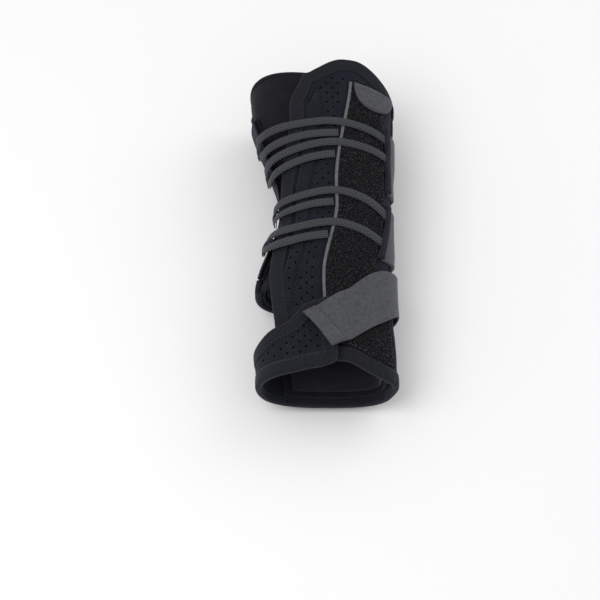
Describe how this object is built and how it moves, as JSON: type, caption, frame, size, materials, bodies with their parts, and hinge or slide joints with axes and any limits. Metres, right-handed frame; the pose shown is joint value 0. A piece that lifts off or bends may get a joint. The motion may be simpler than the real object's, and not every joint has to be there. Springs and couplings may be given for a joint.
{
  "type": "wrist splint",
  "caption": "Lace-up wrist splint of perforated laminate with loop-pile panel, bound edges, thumb flap, hand strap and removable stays.",
  "frame": {"origin": "on the resting surface, under the centre of the bounding box", "axes": "+Y towards the elbow end, +Z out of the back of the hand, +X towards the little-finger side"},
  "size_m": [0.0868, 0.2034, 0.0652],
  "materials": {
    "perforated_laminate": "perforated knit-faced foam laminate, matte",
    "wrap_fabric": "smooth knit over foam, matte",
    "brushed_lining": "brushed knit",
    "loop_pile": "unnapped loop pile",
    "knit_binding": "folded elastic binding",
    "grey_webbing": "smooth woven webbing",
    "braided_lace": "flat braided polyester",
    "aluminium_stay": "satin rolled sheet",
    "plastic_stay": "moulded, matte"
  },
  "bodies": {
    "splint": {"forearm_wrap": "wrap_fabric", "hand_wrap": "wrap_fabric", "dorsal_hand_pad": "wrap_fabric", "wrap_edge_roll": "wrap_fabric", "forearm_lining": "brushed_lining", "hand_lining": "brushed_lining", "dorsal_panel": "perforated_laminate", "palmar_panel": "perforated_laminate", "radial_flap": "perforated_laminate", "loop_panel": "loop_pile", "palmar_loop_patch": "loop_pile", "loop_panel_edge": "grey_webbing", "proximal_binding": "knit_binding", "radial_binding": "knit_binding", "distal_binding": "knit_binding", "palmar_distal_binding": "knit_binding", "palmar_proximal_binding": "knit_binding", "radial_flap_binding": "knit_binding", "thumb_opening_binding": "knit_binding", "palmar_stay_pocket": "knit_binding", "hand_strap_anchor": "grey_webbing", "lace_1": "braided_lace", "lace_guide_1": "knit_binding", "lace_2": "braided_lace", "lace_guide_2": "knit_binding", "lace_3": "braided_lace", "lace_guide_3": "knit_binding", "lace_4": "braided_lace", "lace_guide_4": "knit_binding"},
    "palmar_stay_body": {"palmar_stay": "aluminium_stay"},
    "dorsal_stay_body": {"dorsal_stay": "plastic_stay"},
    "ulnar_stay_body": {"ulnar_stay": "plastic_stay"},
    "stay_tab_body": {"stay_pocket_tab": "grey_webbing"},
    "upper_lace_strap_body": {"upper_lace_strap": "grey_webbing"},
    "lower_lace_strap_body": {"lower_lace_strap": "grey_webbing"},
    "hand_strap_body": {"hand_strap": "grey_webbing", "hand_strap_tab": "grey_webbing"},
    "thumb_flap_body": {"thumb_flap": "perforated_laminate", "thumb_flap_binding": "knit_binding"}
  },
  "joints": [
    {"name": "palmar_stay_slide", "type": "slide", "parent": "splint", "child": "palmar_stay_body", "axis": [0, 1, 0], "range_m": [0, 0.147]},
    {"name": "dorsal_stay_slide", "type": "slide", "parent": "splint", "child": "dorsal_stay_body", "axis": [0.0002, 0.996, 0.0897], "range_m": [0, 0.151]},
    {"name": "ulnar_stay_slide", "type": "slide", "parent": "splint", "child": "ulnar_stay_body", "axis": [0.0109, 0.9961, 0.0874], "range_m": [0, 0.151]},
    {"name": "stay_tab_peel", "type": "hinge", "parent": "splint", "child": "stay_tab_body", "pos_m": [0.03013, 0.08379, 0.05975], "axis": [-0.8327, 0.1398, 0.5357], "range_deg": [0, 100]},
    {"name": "upper_lace_strap_peel", "type": "hinge", "parent": "splint", "child": "upper_lace_strap_body", "pos_m": [0.03903, 0.03888, 0.04675], "axis": [-0.0104, -0.995, -0.0996], "range_deg": [0, 90]},
    {"name": "lower_lace_strap_peel", "type": "hinge", "parent": "splint", "child": "lower_lace_strap_body", "pos_m": [0.03738, -0.00906, 0.04448], "axis": [-0.1153, -0.9925, 0.0399], "range_deg": [0, 90]},
    {"name": "hand_strap_open", "type": "hinge", "parent": "splint", "child": "hand_strap_body", "pos_m": [0.04219, -0.04509, 0.03575], "axis": [-0.13, 0.9015, 0.4127], "range_deg": [0, 120]},
    {"name": "thumb_flap_open", "type": "hinge", "parent": "splint", "child": "thumb_flap_body", "pos_m": [-0.02233, -0.09034, 0.00806], "axis": [0.0935, -0.9954, -0.0196], "range_deg": [0, 55]}
  ],
  "couplings": [
    {"joint": "thumb_flap_open", "follows": "hand_strap_open", "ratio": 0.458}
  ]
}
